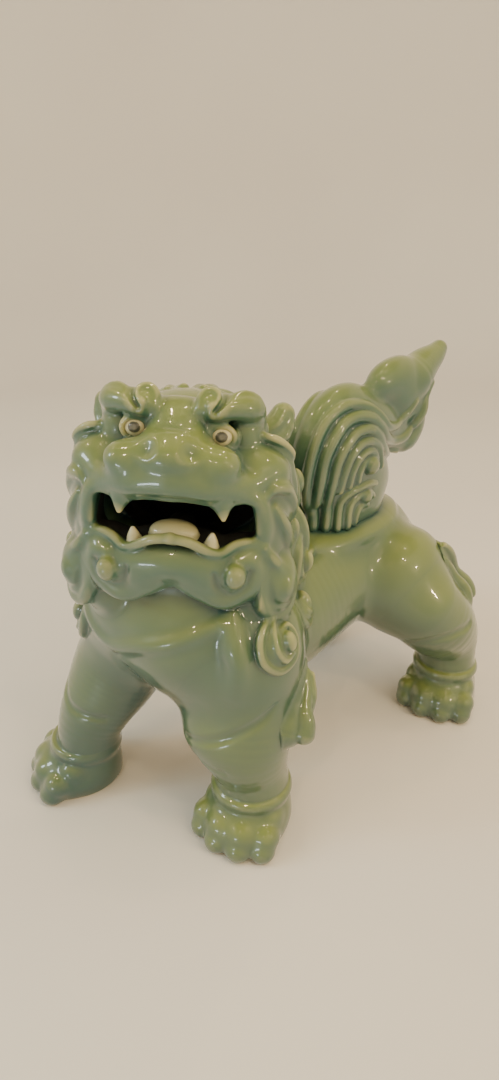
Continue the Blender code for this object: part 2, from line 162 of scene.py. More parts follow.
def limb(points, frame=BODY, step=3.0):
    """A round limb along a smooth curve through points (x, y, z, radius)."""
    path = curve(points, frame, step)
    r = path[:, 3:4]

    def measure(x, y, z, margin):
        out = np.full((x.size, y.size, z.size), FAR, np.float32)
        grid = [g.ravel() for g in (x, y, z)]
        for a, b in zip(path, path[1:]):
            reach = max(a[3], b[3]) + margin
            cut = [slice(*np.searchsorted(g, (min(a[i], b[i]) - reach, max(a[i], b[i]) + reach)))
                   for i, g in enumerate(grid)]
            if any(s.start >= s.stop for s in cut):
                continue
            px = (grid[0][cut[0]] - a[0])[:, None, None]
            py = (grid[1][cut[1]] - a[1])[None, :, None]
            pz = (grid[2][cut[2]] - a[2])[None, None, :]
            dx, dy, dz, dr = (b - a).astype(np.float32)
            t = np.clip((px * dx + py * dy + pz * dz) / max(dx * dx + dy * dy + dz * dz, 1e-6), 0, 1)
            away = np.sqrt((px - t * dx) ** 2 + (py - t * dy) ** 2 + (pz - t * dz) ** 2)
            part = out[tuple(cut)]
            np.minimum(part, away - (np.float32(a[3]) + t * dr), out=part)
        return out

    return Shape((path[:, :3] - r).min(0), (path[:, :3] + r).max(0), measure)


def opening(outline, near, far, frame=BODY):
    """A smooth closed outline of (x, z) points, swept along Y from near to far."""
    loop = np.array(outline, float)
    n = len(loop)
    ring = []
    for i in range(n):
        near_by = [loop[(i + j) % n] for j in (-1, 0, 1, 2)]
        ring += [spline(*near_by, t) for t in np.linspace(0, 1, 6, endpoint=False)]
    ring = np.array(ring, np.float32)
    rows = np.array(frame.inverted(), np.float32)
    corners = np.array([frame @ Vector((x, y, z)) for x in (loop[:, 0].min(), loop[:, 0].max())
                        for y in (near, far) for z in (loop[:, 1].min(), loop[:, 1].max())])

    def measure(x, y, z, margin):
        u, v, w = within(rows, x, y, z)
        best = np.full(u.shape, FAR * FAR, np.float32)
        inside = np.zeros(u.shape, bool)
        for (ax, az), (bx, bz) in zip(ring, np.roll(ring, -1, 0)):
            ex, ez = bx - ax, bz - az
            t = np.clip(((u - ax) * ex + (w - az) * ez) / (ex * ex + ez * ez), 0, 1)
            np.minimum(best, (u - ax - t * ex) ** 2 + (w - az - t * ez) ** 2, out=best)
            crosses = ((az > w) != (bz > w)) & (u < ax + ex * (w - az) / (ez if ez else 1e-9))
            inside ^= crosses
        flat = np.sqrt(best) * np.where(inside, -1, 1)
        return np.maximum(flat, np.abs(v - (near + far) / 2) - abs(far - near) / 2)

    return Shape(corners.min(0), corners.max(0), measure)


def slab(low, high):
    """An upright box."""
    low, high = np.array(low, np.float32), np.array(high, np.float32)
    middle, half = (low + high) / 2, (high - low) / 2

    def measure(x, y, z, margin):
        away = [np.abs(g - middle[i]) - half[i] for i, g in enumerate((x, y, z))]
        return np.maximum(np.maximum(away[0], away[1]), away[2])

    return Shape(low, high, measure)


def post(centre, radius, low, high):
    """An upright cylinder."""
    def measure(x, y, z, margin):
        side = np.sqrt((x - centre[0]) ** 2 + (y - centre[1]) ** 2) - radius
        return np.maximum(side, np.abs(z - (low + high) / 2) - (high - low) / 2)

    return Shape((centre[0] - radius, centre[1] - radius, low),
                 (centre[0] + radius, centre[1] + radius, high), measure)


def sample(array, low, points):
    """Trilinear values of a lattice block, whose first point is at low, at points in mm."""
    at = (points - low) / PITCH
    top = np.array(array.shape) - 1.001
    at = np.clip(at, 0, top)
    i = at.astype(int)
    f = at - i
    out = np.zeros(len(points))
    for dx in (0, 1):
        for dy in (0, 1):
            for dz in (0, 1):
                weight = np.abs((1 - dx) - f[:, 0]) * np.abs((1 - dy) - f[:, 1]) * np.abs((1 - dz) - f[:, 2])
                out += weight * array[i[:, 0] + dx, i[:, 1] + dy, i[:, 2] + dz]
    return out


def slope(array, low, points, reach=PITCH):
    """Gradient of a lattice block at points in mm."""
    out = np.empty((len(points), 3))
    for axis in range(3):
        step = np.zeros(3)
        step[axis] = reach
        out[:, axis] = (sample(array, low, points + step) - sample(array, low, points - step)) / (2 * reach)
    return out


class Clay:
    """A lattice on which pieces are laid one after another."""

    def __init__(self, low, high):
        self.low = np.floor(np.array(low) / PITCH) * PITCH
        self.count = np.ceil((np.array(high) - self.low) / PITCH).astype(int) + 1
        self.field = np.full(self.count, FAR, np.float32)

    def span(self, low, high):
        """First and last lattice index of a box, kept inside the lattice."""
        first = np.floor((np.asarray(low) - self.low) / PITCH).astype(int)
        last = np.ceil((np.asarray(high) - self.low) / PITCH).astype(int) + 1
        return np.clip(first, 0, self.count - 1), np.clip(last, 1, self.count)

    def axes(self, first, last):
        """Coordinates of a stretch of lattice, shaped to broadcast."""
        line = [(self.low[i] + PITCH * np.arange(first[i], last[i])).astype(np.float32) for i in range(3)]
        return line[0][:, None, None], line[1][None, :, None], line[2][None, None, :]


def in_scene(name, data):
    """A new object in the scene."""
    made = bpy.data.objects.new(name, data)
    bpy.context.scene.collection.objects.link(made)
    return made


skins = []  # every finished skin with its design points


class Piece:
    """One piece of clay before it is laid: a field over the box of the CAD node it stands for."""

    def __init__(self, clay, node, margin=12.0, room=None, name=None):
        """Shapes are measured to margin mm round them, and the piece's box is its node's box with room.

        A piece with a name of its own is one more piece beside its node and doesn't replace it.
        """
        self.clay, self.margin = clay, margin
        self.name, self.nodes = (name, []) if name else (f"lion_{node}", [node])
        low, high = (np.array(corner) * 1000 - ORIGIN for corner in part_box(node))
        low, high = low - (room or margin), high + (room or margin)
        self.first, self.last = clay.span(low, high)
        self.low = clay.low + self.first * PITCH
        self.field = np.full(self.last - self.first, FAR, np.float32)

    def lump(self):
        """A piece over the same box with nothing in it yet, to be shaped apart."""
        apart = copy.copy(self)
        apart.field = np.full_like(self.field, FAR)
        return apart

    def stretch(self, shape, margin):
        """The part of this piece's field round a shape, and the shape's distances there."""
        first, last = self.clay.span(shape.low - margin, shape.high + margin)
        first, last = np.maximum(first, self.first), np.minimum(last, self.last)
        if (first >= last).any():
            return None, None
        part = self.field[tuple(slice(a, b) for a, b in zip(first - self.first, last - self.first))]
        return part, shape.measure(*self.clay.axes(first, last), margin)

    def add(self, shape, k=3.0, margin=None):
        part, d = self.stretch(shape, self.margin if margin is None else margin)
        if part is not None:
            part[...] = smin(part, d, k)
        return self

    def build(self, parts, sides=(1,), frame=HEAD):
        """Add limbs (points, k) and balls (centre, k, radii), all given for the lion's left side."""
        for side in sides:
            for where, k, *radii in parts:
                if radii:
                    self.add(ball(*mirror([where], side), *radii, frame=frame), k)
                else:
                    self.add(limb(mirror(where, side), frame), k)

    def cut(self, shape, k=1.5):
        part, d = self.stretch(shape, k + 2 * BAND)
        if part is not None:
            part[...] = -smin(-part, d, k)
        return self

    def snap(self, points, frame=BODY, lift=0.0, field=None, low=None):
        """Points (x, y, z, radius) moved on to the surface, lifted off it by a share of radius."""
        field, low = (self.field, self.low) if field is None else (field, low)
        at = curve(points, frame, 2.5)
        for _ in range(8):
            value = sample(field, low, at[:, :3])[:, None]
            normal = slope(field, low, at[:, :3], 1.5 * PITCH)
            normal /= np.maximum(np.linalg.norm(normal, axis=1, keepdims=True), 0.2)
            at[:, :3] -= 0.8 * np.clip(value - lift * at[:, 3:4], -4, 4) * normal
        return at

    def strip(self, points, k=2.0, frame=BODY, lift=0.1, cut=False):
        """A ridge or, with cut, a groove that follows the surface of this piece."""
        path = self.snap(points, frame, lift)
        shape = limb([tuple(p) for p in path], step=WHOLE)
        return self.cut(shape, k) if cut else self.add(shape, k)

    def lay(self, blend, finish="celadon_glaze", body="statue"):
        """Lay the piece on the clay with a fillet of about blend, and give it its own skin."""
        place = tuple(slice(a, b) for a, b in zip(self.first, self.last))
        merged = smin(self.field, self.clay.field[place], blend)
        own = self.field
        if blend > 0:  # the skin dives under the older ones before it ends
            dive = DIVE * np.clip((self.field / blend - DIVE_START) / DIVE_RUN, 0, 1)
            own = np.maximum(merged + dive, self.field - FILLET * blend)
        self.clay.field[place] = merged
        skin(self.name, own, merged, self.low, self.nodes, finish, body)
        return self


def skin(name, field, merged, low, nodes, finish, body):
    """A closed mesh on the zero surface of a field, shaded as the merged clay where it shows."""
    edge = field.copy()
    for axis in range(3):
        end = [slice(None)] * 3
        for where in (0, -1):
            end[axis] = where
            edge[tuple(end)] = np.maximum(edge[tuple(end)], PITCH)
    grid = openvdb.FloatGrid(BAND)
    grid.copyFromArray(np.clip(edge, -BAND, BAND))
    points, quads = grid.convertToQuads()
    if not len(points):
        raise RuntimeError(f"no skin for {name}")
    points = points.astype(float) * PITCH + low
    for _ in range(2):
        normal = slope(field, low, points, 0.5 * PITCH)
        size = np.maximum((normal ** 2).sum(1, keepdims=True), 0.1)
        step = sample(field, low, points)[:, None] * normal / size
        points -= np.clip(step, -0.4 * PITCH, 0.4 * PITCH)
    shows = np.abs(sample(merged, low, points))[:, None] < 0.2 * PITCH
    normal = np.where(shows, slope(merged, low, points), slope(field, low, points))
    normal /= np.maximum(np.linalg.norm(normal, axis=1, keepdims=True), 1e-6)
    a, b, c = (points[quads[:, i]] for i in (0, 1, 2))
    if np.einsum("ij,ij->", np.cross(b - a, c - a), normal[quads[:, 0]]) < 0:
        quads = quads[:, ::-1]
    mesh = bpy.data.meshes.new(name)
    mesh.vertices.add(len(points))
    mesh.vertices.foreach_set("co", ((points + ORIGIN) / 1000).astype(np.float32).ravel())
    mesh.loops.add(quads.size)
    mesh.loops.foreach_set("vertex_index", quads.astype(np.int32).ravel())
    mesh.polygons.add(len(quads))
    mesh.polygons.foreach_set("loop_start", np.arange(0, quads.size, 4, dtype=np.int32))
    mesh.polygons.foreach_set("use_smooth", np.ones(len(quads), bool))
    mesh.update(calc_edges=True)
    mesh.validate()
    flat = np.empty(3 * len(points), np.float32)
    mesh.vertex_normals.foreach_get("vector", flat)
    flat = flat.reshape(-1, 3)
    normal = np.where((normal * flat).sum(1, keepdims=True) > 0.7, normal, flat)
    mesh.normals_split_custom_set_from_vertices(normal.tolist())
    piece = in_scene(name, mesh)
    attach(piece, body)
    if nodes:
        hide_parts(*nodes)
    skins.append((piece, points, finish))


def mirror(points, side):
    """Points given for the lion's left side, put on a side."""
    return [(side * p[0], *p[1:]) for p in points]


statue = Clay((-155, -270, -10), (160, 210, 395))

STEM = (0.0, 42.0)  # where the tail's stem stands in the back
STEM_FOOT, TAIL_FOOT = 198.0, 214.6  # heights of the stem's end and of the tail round it
MOUTH = [(0, 4), (18, 2), (31, -6), (43, -1), (52, -5), (54, -32), (34, -46), (0, -40)]
MOUTH = MOUTH + [(-x, z) for x, z in reversed(MOUTH[1:-1])]

# ---- trunk
trunk = Piece(statue, "trunk", margin=26.0)
trunk.add(limb([(-4, -120, 166, 62), (0, -55, 152, 60), (0, 10, 154, 56), (0, 70, 160, 55),
                (0, 98, 160, 49)], step=8), 0)
trunk.build([((-4, -138, 182), 12, (58, 52, 54)), ((-38, -150, 186), 14, (50, 44, 50))], frame=BODY)
trunk.add(limb([(-6, -124, 196, 56), (-9, -120, 250, 50)], step=8), 12)
for side in BOTH:
    trunk.add(ball((side * 48, 84, 146), (41, 52, 54), (0, side * 8, 0)), 14)
trunk.build([((44, -112, 172), 16, (40, 44, 48)), ((-54, -136, 172), 16, (40, 44, 48)),
             ((0, 46, 206), 16, (41, 70, 11))], frame=BODY)
trunk.strip([(50, -138, 212, 4), (61, -146, 196, 7), (67, -148, 180, 7), (65, -148, 160, 3)], 10)
trunk.strip([(-72, -176, 196, 1.5), (-50, -190, 182, 2.5), (-26, -193, 176, 2.8),
             (5, -190, 188, 2.8), (32, -178, 199, 2.6), (50, -150, 210, 1.5)], 10, lift=-0.3)
trunk.strip([(-80, -186, 142, 1.2), (-62, -194, 130, 2.2), (-46, -191, 122, 2.2),
             (-34, -178, 114, 1.2)], 10, lift=-0.3)
trunk.cut(opening(MOUTH, -115, -8, HEAD), 3)
trunk.cut(ball((0, 0, -10), (50, 48, 36), frame=HEAD), 3)
trunk.cut(post(STEM, 20.0, 190.0, 240.0), 1.5)
trunk.lay(0)

# ---- legs and paws
LEGS = {
    "front_left": [(40, -118, 146, 41), (47, -120, 112, 42), (52, -127, 86, 37), (56, -125, 62, 31),
                   (57, -124, 42, 31)],
    "front_right": [(-64, -146, 146, 41), (-72, -160, 112, 40), (-77, -180, 82, 33),
                    (-80, -190, 62, 29), (-82, -194, 42, 28)],
    "hind_left": [(70, 90, 126, 40), (80, 110, 102, 38), (86, 128, 80, 31), (88, 133, 62, 28),
                  (88, 133, 42, 29)],
    "hind_right": [(-70, 88, 126, 40), (-79, 108, 102, 38), (-84, 126, 80, 31), (-86, 130, 62, 28),
                   (-86, 130, 42, 29)],
}
ANKLES = {"front_left": (57, -124, 32), "front_right": (-84, -195, 29),
          "hind_left": (88, 133, 30.5), "hind_right": (-86, 130, 30.5)}
TOES = {"front_left": (72, -172), "front_right": (-110, -239),
        "hind_left": (101, 92), "hind_right": (-98, 86)}
FOLDS = {  # shallow folds of the skin round each leg
    "front_left": [[(30, -160, 100, 2), (46, -162, 106, 3), (66, -155, 118, 3), (80, -138, 132, 3),
                    (84, -122, 146, 2)],
                   [(34, -154, 88, 1.5), (48, -160, 83, 2.5), (62, -158, 82, 1.5)]],
    "front_right": [[(-96, -196, 104, 1.5), (-80, -208, 94, 2.4), (-64, -207, 90, 2.4),
                     (-49, -195, 86, 1.5)]],
    "hind_left": [[(78, 74, 106, 2.5), (101, 75, 107, 4), (112, 92, 110, 4), (118, 112, 112, 3)]],
    "hind_right": [[(-78, 72, 106, 2.5), (-99, 73, 107, 4), (-110, 90, 110, 4), (-116, 110, 112, 3)]],
}
for place, path in LEGS.items():
    end, side = place.split("_")
    leg = Piece(statue, f"{end}_leg_{side}", margin=26.0)
    leg.add(limb(path, step=6), 0)
    if place == "front_left":
        leg.add(ball((36, -136, 100), (33, 33, 30)), 16)
    for fold in FOLDS[place]:
        leg.strip(fold, 5, lift=0.5, cut=True)
    leg.cut(slab((-200, -300, -40), (200, 300, 30)), 0)
    leg.lay(22 if end == "front" else 14)

TOE_ROW = [(-28, -32, 0.93), (-9.8, -40, 1.0), (9.8, -40, 1.0), (28, -32, 0.93)]  # across, reach, size
for place, (ax, ay, radius) in ANKLES.items():
    end, side = place.split("_")
    tx, ty = TOES[place]
    turn = math.atan2(tx - ax, -(ty - ay))
    here = Matrix.Translation((ax, ay, 0)) @ Matrix.Rotation(turn, 4, "Z")
    paw = Piece(statue, f"{end}_paw_{side}", margin=8.0)
    paw.build([((0, -5, 14), 0, (radius + 4, radius + 1, 30)), ((0, -20, 12), 8, (36, 30, 26))], frame=here)
    paw.add(post((ax, ay), radius - 0.5, 4, 44), 8)
    for across, reach, size in TOE_ROW:
        toe = paw.lump()
        toe.build([((across * 0.88, reach + 17, 27 * size), 0, (11.2 * size, 12, 12 * size)),
                   ((across, reach + 3, 18 * size), 3, (12.0 * size, 12.5, 12.5 * size)),
                   ((across, reach - 3, 8), 3, (11.2 * size, 11.5, 11))], frame=here)
        paw.field[...] = smin(paw.field, toe.field, 3.5)
    ring = [(math.sin(a) * (radius - 2), math.cos(a) * (radius - 2) - 1, 40 - 2 * math.cos(a), 4.2)
            for a in np.linspace(0, 2 * math.pi, 25)]
    paw.add(limb(ring, frame=here, step=4), 5)
    paw.cut(slab((-200, -300, -40), (200, 300, 0)), 0)
    paw.cut(slab((-200, -300, 52), (200, 300, 90)), 0)
    paw.lay(3.0)

# ---- head
head = Piece(statue, "head", margin=20.0)
head.build([((0, 4, 4), 0, (57, 55, 50)), ((0, 52, -40), 12, (73, 33, 82)),
            ((0, 18, -45), 12, (70, 42, 40)), ((0, -31, 49), 9, (26, 15, 12))])
head.build([((66, 18, -78), 10, (25, 33, 56)), ((50, -18, -18), 10, (30, 37, 43)),
            ((42, -16, 37), 8, (14, 19, 17)), ((57, -30, -58), 8, (20, 25, 40)),
            ((52, -24, -90), 10, (26, 26, 22))], BOTH)
head.build([((0, -46, 21), 10, (41, 31, 18.5)), ((0, -57, 34), 10, (25, 22.5, 13)),
            ((0, -46, 42), 12, (13, 17, 8))])
head.build([([(0, -66, 16, 12), (20, -65, 15, 12), (38, -57, 12, 10), (50, -48, 10, 8)], 6),
            ((31.5, -61, 28), 8, (12.5, 12.5, 11)), ((55, -31, 14), 12, (19, 16, 15)),
            ([(0, -66, 9, 6), (18, -65, 8, 6), (34, -60, 4, 6), (46, -56, 5, 5.5), (55, -53, 1, 5.5),
              (59, -51, -9, 5.5), (60, -49, -24, 5.5), (59, -48, -33, 4)], 5)], BOTH)
head.cut(limb([(-24, -50, 55, 3), (-12, -56, 54, 5), (0, -58, 55, 6), (12, -56, 54, 5), (24, -50, 55, 3)],
              HEAD), 6)
head.cut(opening(MOUTH, -115, -8, HEAD), 3.5)
head.cut(ball((0, 0, -10), (50, 48, 36), frame=HEAD), 3)
for side in BOTH:
    head.cut(ball((side * 16, -76.5, 42), (7.5, 8.5, 7.5), frame=HEAD), 4)  # nostril
head.cut(limb([(-42, -66, 2, 2), (-33, -74, -1, 5), (-18, -79, 3, 6.5), (0, -81, 5, 6.5),
               (18, -79, 3, 6.5), (33, -74, -1, 5), (42, -66, 2, 2)], HEAD), 3)
STRANDS = [  # locks that lie flat on the temples and cheeks
    [(58, -50, 2, 2), (66, -44, 8, 4), (73, -36, 4, 4.5), (78, -28, -8, 4), (82, -20, -24, 2)],
    [(56, -24, 36, 2.5), (66, -22, 30, 4.5), (75, -18, 18, 5), (81, -14, 2, 4), (84, -10, -16, 2)],
    [(60, -8, 38, 2.5), (71, -6, 26, 4.5), (79, -2, 10, 5), (84, 4, -8, 4), (86, 8, -24, 2)],
    [(66, -46, -6, 2.5), (72, -40, -20, 4.5), (77, -32, -36, 5), (79, -24, -54, 3)],
    [(62, -52, -34, 2.5), (68, -46, -48, 4.5), (74, -38, -62, 4.5), (80, -28, -72, 2.5)],
    [(84, 12, -30, 3), (90, 14, -46, 5), (93, 16, -62, 5), (92, 16, -78, 3)],
]
for side in BOTH:
    for strand in STRANDS:
        head.strip(mirror(strand, side), 3, frame=HEAD, lift=0.0)
NAPE = [(30, 52), (52, 36), (64, 16), (74, -8), (82, -34), (86, -62), (88, -90), (88, -112)]  # out, height
for turn in np.linspace(-78, 78, 12):  # locks that run down the back of the head
    strand = []
    for step, (wide, z) in enumerate(NAPE):
        a = math.radians(turn * (0.55 + 0.065 * step) + 5 * math.sin(1.9 * step + turn))
        thick = 2.5 if z in (NAPE[0][1], NAPE[-1][1]) else 5.5
        strand.append((wide * math.sin(a), 4 + wide * math.cos(a), z, thick))
    head.strip(strand, 3, frame=HEAD, lift=-0.4)
head.lay(8)
for side, label in SIDES:
    fang = Piece(statue, f"upper_fang_{label}", margin=8.0)
    tusk = mirror([(31, -61, 5, 7), (33.5, -63.5, -1, 5.2), (34.5, -65, -8, 2.0)], side)
    fang.add(limb(tusk, HEAD, 1.5), 0)
    fang.lay(4)

jaw = Piece(statue, "lower_jaw", margin=14.0)
jaw.build([((0, -50, -45), 0, (46, 25, 19)), ((0, -38, -54), 8, (54, 25, 18))])
for side in BOTH:
    jaw.build([((20, -56, -56), 8, (21, 15, 17)), ((41, -50, -56), 8, (19, 17, 22)),
               ((48, -46, -40), 6, (16, 14, 12)), ((50, -44, -58), 6, (16, 14, 22)),
               ((60, -38, -64), 8, (14, 15, 24)),
               ([(3, -60, -54, 6), (18, -60, -66, 8), (36, -57, -75, 8), (51, -53, -68, 7),
                 (57, -53, -54, 5), (54, -57, -43, 3.5), (45, -62, -41, 2.5)], 5)], [side])
    jaw.cut(limb(mirror([(30, -70, -49, 1.0), (33, -69, -60, 2.4), (42, -67, -67, 2.8), (52, -64, -60, 2.4),
                         (54, -62, -50, 1.5)], side), HEAD), 4)
    jaw.build([((44, -67, -51 + side), 2.5, (7.5, 8, 9)),
               ([(0, -70, -23, 3.6), (13, -70, -25, 3.6), (24, -67, -32, 3.6), (33, -63, -35.5, 3.4),
                 (42, -58, -31, 3.4), (51, -54, -30, 3.4), (60, -50, -33, 3.2)], 2.5)], [side])
jaw.cut(ball((0, -38, -14), (44, 24, 12), frame=HEAD), 3)
jaw.lay(4)

tongue = Piece(statue, "tongue", margin=8.0)
tongue.build([([(0, -24, -38, 11), (0, -42, -34, 11), (0, -53, -32, 8)], 0),
              ((0, -55, -26), 4, (17, 11, 8.5))])
tongue.lay(2, finish="cream_glaze")
for side, label in SIDES:
    fang = Piece(statue, f"lower_fang_{label}", margin=8.0)
    tusk = mirror([(26, -58, -38, 5.5), (26.5, -60, -30, 4.8), (27, -60, -23, 1.8)], side)
    fang.add(limb(tusk, HEAD, 1.5), 0)
    fang.lay(1.0, finish="cream_glaze")

# ---- brows and ears
for side, label in SIDES:
    brow = Piece(statue, f"brow_scroll_{label}", margin=10.0)
    brow.build([([(17, -37, 55, 5), (24, -40, 56, 7), (33, -37, 57, 7.5), (43, -30, 56, 8),
                  (48, -21, 52, 8), (49, -13, 44, 6)], 0),
                ((21, -32, 59), 5, (8, 10, 7.5)), ((42, -26, 55), 5, (11, 10, 7.5)),
                ((31, -29, 56), 4, (13, 9, 8)),
                ([(15, -41, 57, 3), (15, -36, 63, 3.4), (20, -33, 66.5, 3.4), (26, -36, 65.5, 2.8),
                  (27, -41, 62, 2.2), (22, -44, 60, 1.8)], 2.5),
                ([(51, -25, 54, 3), (49, -23, 60, 3.4), (42, -26, 63.5, 3.4), (35, -33, 62.5, 2.8),
                  (33, -39, 59, 2.2)], 2.5)], [side])
    brow.cut(limb(mirror([(30, -26, 70, 2), (30.5, -34, 67, 2.6), (30, -41, 63, 2.2), (25, -45, 57, 1.5)],
                         side), HEAD), 3)
    brow.lay(5)
    ear = Piece(statue, f"ear_{label}")
    ear.build([([(50, 16, 16, 10), (62, 24, 24, 12), (66, 29, 34, 9)], 0)], [side])
    ear.cut(limb(mirror([(60, 6, 22, 3), (70, 14, 28, 4), (74, 20, 38, 3)], side), HEAD), 5)
    ear.lay(5)

# ---- mane
def curl_frame(centre, up, side):
    """A frame on the clay's surface at a point of the head: X across, Y along up, Z outward."""
    at = np.array(HEAD @ Vector(centre))[None]
    for _ in range(8):
        value = sample(statue.field, statue.low, at)[:, None]
        normal = slope(statue.field, statue.low, at, 4 * PITCH)
        normal /= max(np.linalg.norm(normal), 0.2)
        at = at - 0.8 * np.clip(value, -4, 4) * normal
    out = Vector(normal[0]).normalized()
    along = (HEAD.to_3x3() @ Vector(up)).normalized()
    along = (along - out * along.dot(out)).normalized()
    across = along.cross(out) * side
    spin = Matrix((across, along, out)).transposed().to_4x4()
    return Matrix.Translation(at[0]) @ spin


def relief(node, centre, size, up, side, parts):
    """Limbs and balls in a frame on the surface: parts of (points, k) or (centre, k, radii)."""
    here = curl_frame(centre, up, side)

    def put(x, y, z, r=0.0):
        drop = (x * x + y * y) * size * size / (2 * HEAD_BEND)
        return (x * size, y * size, z * size - drop, r * size)

    lock = Piece(statue, node, room=30.0)
    for where, k, *radii in parts:
        if radii:
            lock.build([(put(*where)[:3], k, tuple(q * size for q in radii[0]))], frame=here)
        else:
            lock.build([([put(*point) for point in where], k)], frame=here)
    lock.lay(3.0)


def curl(node, centre, size, up, side, ridges=2, strand=2.2):
    """A curl of hair: a knob in nested crescents, fed by a strand that comes down beside it."""
    parts = [((0, 0, -0.25), 0, (0.95, 1.1, 0.5)),
             ([(-0.1, strand, -0.2, 0.2), (-0.75, 0.6 * strand, 0.02, 0.34), (-0.95, 0.3, 0.1, 0.32),
               (-0.72, -0.7, 0.12, 0.28), (0.0, -1.15, 0.1, 0.24), (0.72, -0.72, 0.08, 0.2),
               (0.9, 0.0, 0.05, 0.12)], 2)]
    for i in range(1, ridges):
        q = 1 - 0.28 * i
        parts.append(([(-0.86 * q, 0.5, 0.12 + 0.1 * i, 0.1), (-0.8 * q, -0.5 * q, 0.22 + 0.1 * i, 0.17),
                       (0.0, -1.05 * q, 0.2 + 0.1 * i, 0.18), (0.66 * q, -0.6 * q, 0.18 + 0.1 * i, 0.14),
                       (0.74 * q, 0.1, 0.12 + 0.1 * i, 0.08)], 1.5))
    parts.append(((0.06, 0.22, 0.25), 2, (0.4, 0.7, 0.45)))
    relief(node, centre, size, up, side, parts)


CURLS = {  # lock number: knob centre, size, up, ridges; mirrored on the head's right
    1: ((70, -14, 30), 9, (-0.3, 0.2, 1), 1),
    2: ((82, -10, -44), 14, (-0.1, 0.1, 1), 3),
    4: ((91, 8, -80), 13, (-0.1, 0.2, 1), 2),
    5: ((95, 2, -114), 13.5, (-0.2, 0.2, 1), 3),
    7: ((74, 50, -34), 17, (-0.3, 0.0, 1), 2),
    8: ((78, 58, -98), 17, (-0.2, 0.1, 1), 2),
}
for number, (centre, size, up, ridges) in CURLS.items():
    for side, label in SIDES:
        spot, up_here = mirror([centre, up], side)
        curl(f"mane_lock_{number}_{label}", spot, size, up_here, side, ridges)
curl("mane_lock_crown", (-4, 76, -8), 19, (0, -0.6, 1), 1, strand=1.6)
curl("mane_lock_nape_left", (34, 80, -62), 19, (0, 0, 1), 1)
curl("mane_lock_nape_right", (-38, 80, -62), 19, (0, 0, 1), -1)
curl("mane_lock_6_right", (-98, -6, -138), 15, (0.2, 0, 1), -1)
for side, label in SIDES:  # the lock beside the chin: a bulb, a crescent round it, a groove and a knob
    lock = Piece(statue, f"mane_lock_3_{label}", room=34.0)
    lock.add(ball((side * 67, -35, -70), (20, 19, 29), frame=HEAD), 0)
    lock.strip(mirror([(56, -52, -46, 3), (58, -53, -60, 4.4), (62, -52, -78, 5.2), (69, -47, -92, 5.4),
                       (79, -37, -93, 5), (85, -28, -84, 4), (86, -26, -72, 2.5)], side),
               3, frame=HEAD, lift=0.0)
    lock.strip(mirror([(66, -54, -52, 1.5), (68, -54, -66, 2.6), (72, -52, -79, 2.6), (80, -43, -83, 2)],
                      side), 2.5, frame=HEAD, lift=0.5, cut=True)
    lock.add(ball((side * 78, -44, -68), (7, 8, 10.5), frame=HEAD), 2)
    lock.lay(4)
COMMA = [  # the large comma-shaped lock that hangs below the beard
    ((0, 0, -0.35), 0, (0.95, 1.15, 0.75)),
    ([(0.35, 1.5, -0.1, 0.12), (-0.35, 1.1, 0.1, 0.17), (-0.85, 0.45, 0.16, 0.2), (-0.85, -0.5, 0.16, 0.22),
      (-0.1, -1.15, 0.12, 0.24), (0.75, -0.75, 0.12, 0.24), (1.0, 0.15, 0.12, 0.2),
      (0.75, 0.8, 0.16, 0.16), (0.35, 0.7, 0.2, 0.1)], 2),
    ([(0.2, 1.3, 0.1, 0.1), (-0.12, 0.7, 0.26, 0.17), (-0.2, -0.1, 0.32, 0.2), (0.15, -0.65, 0.3, 0.2),
      (0.6, -0.5, 0.26, 0.14)], 1.5),
    ((0.5, 0.15, 0.35), 2, (0.34, 0.5, 0.4)),
]
relief("mane_lock_6_left", (75, -58, -112), 16, (0, -0.1, 1), 1, COMMA)

# ---- tufts on the legs
ELBOW = [[(70, -84, 152, 2.5), (78, -94, 136, 5), (84, -104, 122, 6.5), (87, -110, 109, 9)],
         [(82, -80, 144, 2), (88, -90, 130, 4.5), (90, -97, 116, 5.5), (89, -101, 104, 5)],
         [(66, -98, 136, 2), (72, -106, 124, 4), (76, -111, 112, 4.5), (80, -112, 101, 4)]]
HOCK = [[(72, 106, 184, 2.5), (76, 124, 167, 5.5), (82, 138, 149, 6.5), (89, 143, 131, 7.5),
         (92, 141, 120, 6)],
        [(84, 100, 176, 2), (91, 117, 160, 4.5), (98, 129, 143, 5.5), (102, 132, 126, 5),
         (100, 134, 116, 3)],
        [(58, 118, 178, 2), (62, 134, 160, 4.5), (70, 144, 142, 5), (78, 147, 126, 4)]]
# strands, side, and how far out and along Y the tuft sits from the one on the left
TUFTS = {"elbow_left": (ELBOW, 1, 0, 0), "elbow_right": (ELBOW, -1, 12, -20),
         "hock_left": (HOCK, 1, 0, 0), "hock_right": (HOCK, -1, -2, -1)}
for place, (strands, side, out, along) in TUFTS.items():
    tuft = Piece(statue, f"tuft_{place}", room=26.0)
    paths = [[(side * (x + out), y + along, z, q) for x, y, z, q in strand] for strand in strands]
    core = [(x, y, z, 1.9 * q) for x, y, z, q in paths[0]]  # the half-sunk body under the strands
    core = tuft.snap(core, lift=-0.4, field=statue.field, low=statue.low)
    tuft.add(limb([tuple(p) for p in core], step=WHOLE), 0)
    for path in paths:
        tuft.strip(path, 1.2, lift=0.0)
    tuft.lay(4)

